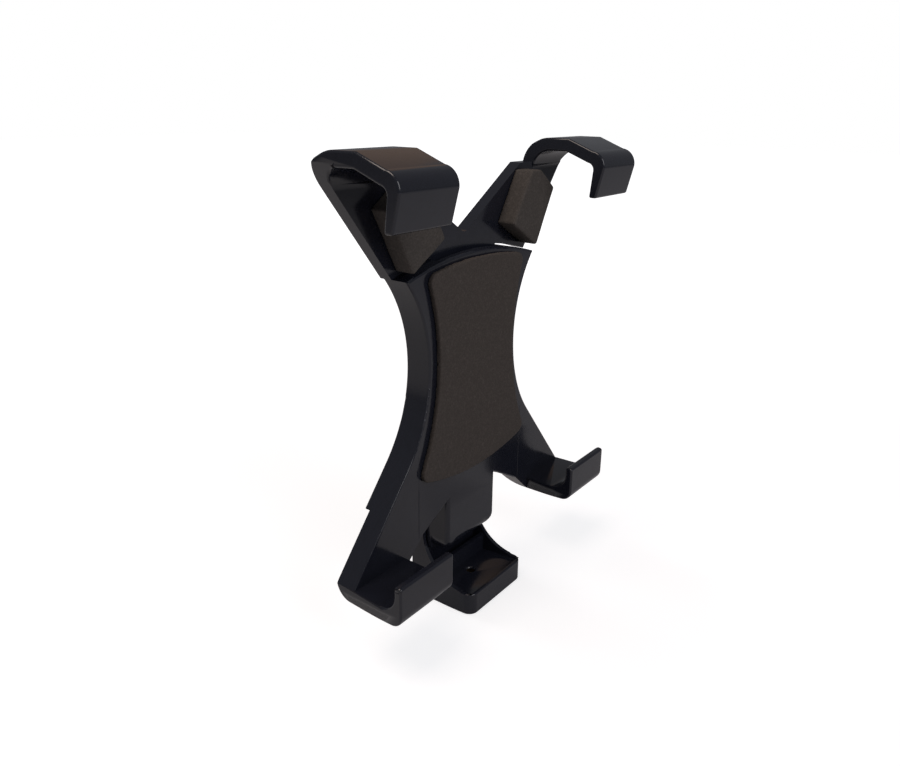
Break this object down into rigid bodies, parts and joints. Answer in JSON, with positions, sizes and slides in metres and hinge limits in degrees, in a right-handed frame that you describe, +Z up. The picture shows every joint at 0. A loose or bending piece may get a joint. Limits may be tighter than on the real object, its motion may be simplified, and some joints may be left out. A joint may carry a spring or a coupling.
{
  "type": "tablet holder",
  "caption": "Spring-closed tablet holder of black moulded plastic: hooked legs, a sliding yoke with hooked arms, grip pads and a threaded tripod foot.",
  "frame": {"origin": "mouth of the tripod thread, at the middle of the foot's underside", "axes": "+X to the right seen from the front, -Y out of the front where the tablet sits, +Z up along the yoke's slide"},
  "size_m": [0.1236, 0.038, 0.1535],
  "materials": {
    "black_plastic": "glossy black moulded plastic with soft rounded edges",
    "grip_rubber": "matt brown-black sheet foam rubber",
    "arm_foam": "matt brown-black cut foam",
    "insert_brass": "turned brass",
    "spring_steel": "bright drawn spring wire",
    "screw_steel": "blackened screw steel"
  },
  "bodies": {
    "holder": {"front_shell": "black_plastic", "rear_cover": "black_plastic", "centre_pad": "grip_rubber", "tripod_foot": "black_plastic", "thread_insert": "insert_brass", "left_spring": "spring_steel", "right_spring": "spring_steel", "lower_spring_pin": "spring_steel", "cover_screws": "screw_steel", "foot_screws": "screw_steel"},
    "slider": {"slider_yoke": "black_plastic", "left_arm_pad": "arm_foam", "right_arm_pad": "arm_foam", "upper_spring_pin": "spring_steel"}
  },
  "joints": [
    {"name": "yoke_slide", "type": "slide", "parent": "holder", "child": "slider", "axis": [0, 0, 1], "range_m": [0, 0.06], "stiffness_N_per_m": 120, "springref_m": -0.05, "deforming": ["left_spring", "right_spring"]}
  ]
}
